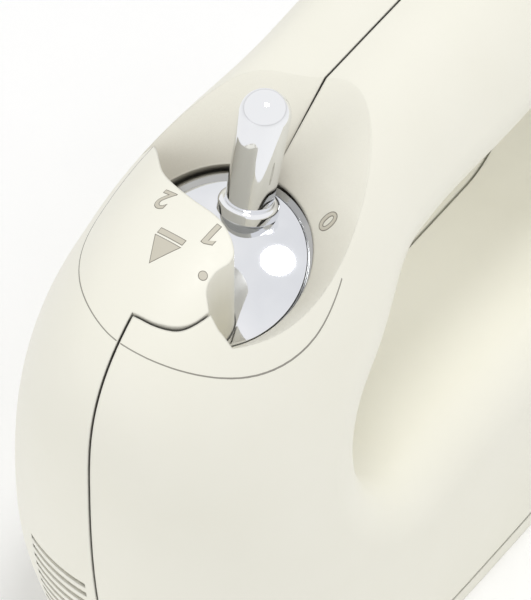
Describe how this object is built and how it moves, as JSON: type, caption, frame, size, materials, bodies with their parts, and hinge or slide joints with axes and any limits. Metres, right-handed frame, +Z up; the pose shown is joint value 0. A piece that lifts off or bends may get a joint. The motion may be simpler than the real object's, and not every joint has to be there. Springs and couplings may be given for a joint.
{
  "type": "hand mixer",
  "caption": "Cream hand mixer body with a looped handle, rounded nose, flat base and a chrome selector lever in a dish, with motor, worm gearbox, beater sockets and ejector.",
  "frame": {"origin": "centre of the flat base, under the middle of the bounding box", "axes": "+Z up, nose towards -Y, heel towards +Y, +X to the user's left"},
  "size_m": [0.0882, 0.2, 0.1477],
  "materials": {
    "shell_plastic": "glossy cream moulded plastic",
    "chrome": "polished chrome plating",
    "inner_plastic": "grey engineering plastic",
    "black_plastic": "black moulded plastic",
    "lamination": "stacked steel laminations",
    "copper": "varnished copper wire",
    "steel": "ground steel",
    "bronze": "sintered bronze",
    "gear_plastic": "natural nylon",
    "carbon": "carbon",
    "board": "circuit board laminate",
    "gland_rubber": "soft black rubber"
  },
  "bodies": {
    "frame": {"left_housing": "shell_plastic", "right_housing": "shell_plastic", "base_cover": "shell_plastic", "chassis": "inner_plastic", "gear_cover": "inner_plastic", "stator_core": "lamination", "field_coils": "copper", "front_bush": "bronze", "rear_bush": "bronze", "rear_bracket": "inner_plastic", "brush_holders": "bronze", "carbon_brushes": "carbon", "dial_seat": "black_plastic", "switch_block": "black_plastic", "circuit_board": "board", "cord_gland": "gland_rubber", "base_screws": "steel"},
    "armature": {"motor_shaft": "steel", "worm": "steel", "rotor_core": "lamination", "rotor_windings": "copper", "commutator": "copper", "cooling_fan": "black_plastic"},
    "left_drive": {"left_spindle": "steel", "left_worm_wheel": "gear_plastic"},
    "right_drive": {"right_spindle": "steel", "right_worm_wheel": "gear_plastic"},
    "selector": {"selector_dial": "chrome", "selector_lever": "chrome", "selector_shaft": "black_plastic"},
    "ejector": {"ejector": "inner_plastic", "ejector_spring": "steel"}
  },
  "joints": [
    {"name": "armature_spin", "type": "hinge", "parent": "frame", "child": "armature", "pos_m": [0, 0, 0.027], "axis": [0, 1, 0], "continuous": true},
    {"name": "left_spindle_spin", "type": "hinge", "parent": "frame", "child": "left_drive", "pos_m": [0.019, -0.054, 0.02], "axis": [0, 0, 1], "continuous": true},
    {"name": "right_spindle_spin", "type": "hinge", "parent": "frame", "child": "right_drive", "pos_m": [-0.019, -0.054, 0.02], "axis": [0, 0, 1], "continuous": true},
    {"name": "selector_turn", "type": "hinge", "parent": "frame", "child": "selector", "pos_m": [0, -0.0506, 0.1115], "axis": [0, -0.4226, 0.9063], "range_deg": [-75, 38]},
    {"name": "ejector_slide", "type": "slide", "parent": "frame", "child": "ejector", "axis": [0, 0, 1], "range_m": [-0.008, 0], "stiffness_N_per_m": 300, "springref_m": 0.0005, "deforming": ["ejector_spring"]}
  ],
  "couplings": [
    {"joint": "left_spindle_spin", "follows": "armature_spin", "ratio": 0.083333},
    {"joint": "right_spindle_spin", "follows": "armature_spin", "ratio": -0.083333}
  ]
}
